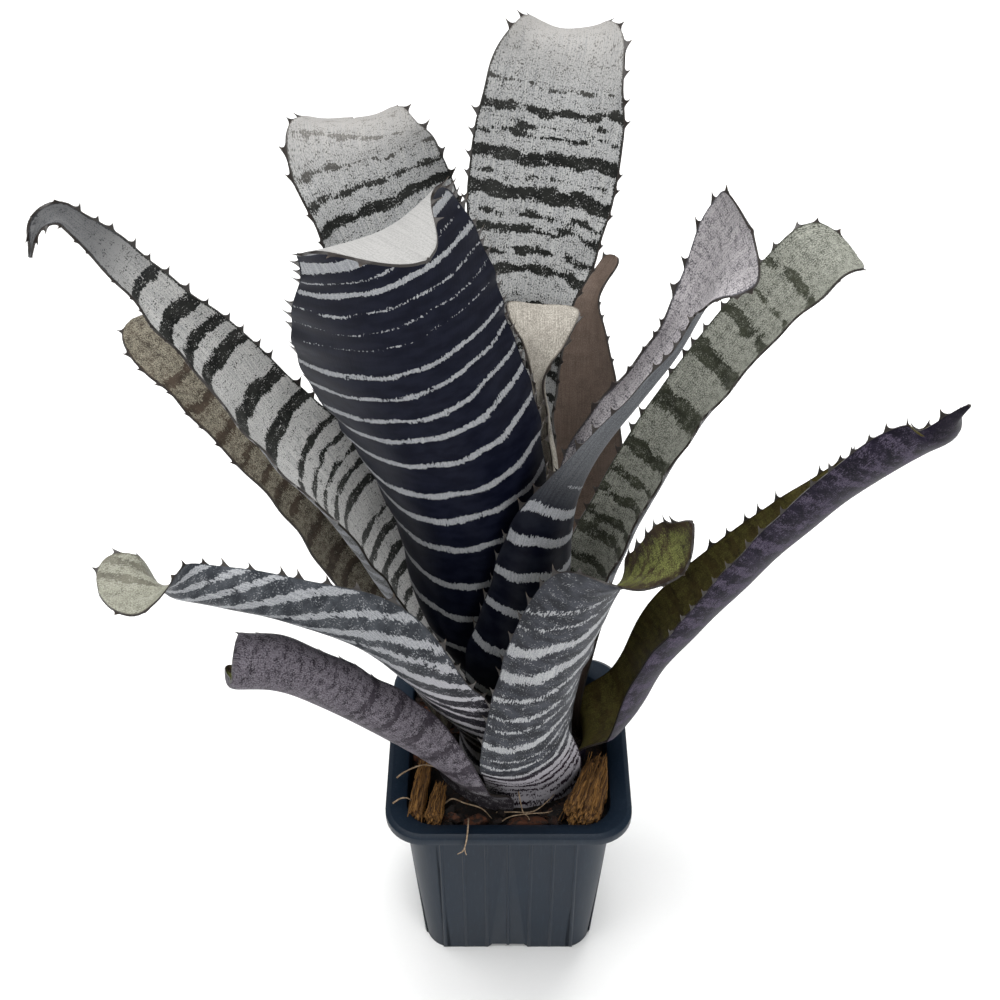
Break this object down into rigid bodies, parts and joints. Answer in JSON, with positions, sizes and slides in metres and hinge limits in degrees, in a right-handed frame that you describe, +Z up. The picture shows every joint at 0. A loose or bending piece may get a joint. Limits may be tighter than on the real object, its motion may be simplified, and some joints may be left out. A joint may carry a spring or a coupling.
{
  "type": "potted aechmea hybrid",
  "caption": "Banded tank bromeliad: a rosette of toothed, cross-banded strap leaves rooted in bark and coir mix in a square plastic nursery pot.",
  "frame": {"origin": "middle of the flat pad under the nursery pot, on the surface that it stands on", "axes": "+Z up, the front of the plant towards -Y, +X to the right seen from the front"},
  "size_m": [0.3043, 0.2456, 0.4135],
  "materials": {
    "pot_plastic": "satin moulded",
    "growing_mix": "rough, loose",
    "coconut_husk": "fibrous, rough",
    "bark": "rough",
    "silver_leaf": "satin, dusted with pale scales",
    "dark_leaf": "satin, pale cross bands",
    "brown_leaf": "satin",
    "purple_leaf": "satin, dusted with pale scales",
    "olive_leaf": "satin, mottled"
  },
  "bodies": {
    "root": {"nursery_pot": "pot_plastic", "growing_mix": "growing_mix", "husk_chunk_right": "coconut_husk", "husk_strip_left_1": "coconut_husk", "husk_strip_left_2": "coconut_husk", "bark_chip_front_1": "bark", "bark_chip_front_2": "bark", "leaf_01_heart": "silver_leaf", "leaf_02_tall_back": "silver_leaf", "leaf_03_front": "dark_leaf", "leaf_04_back_left": "silver_leaf", "leaf_05_rolled_right": "dark_leaf", "leaf_06_left": "silver_leaf", "leaf_07_right": "silver_leaf", "leaf_08_left_middle": "dark_leaf", "leaf_09_old_brown": "brown_leaf", "leaf_10_purple": "purple_leaf", "leaf_11_olive": "olive_leaf", "leaf_12_front_right": "dark_leaf", "leaf_13_low_left": "purple_leaf"}
  },
  "joints": []
}
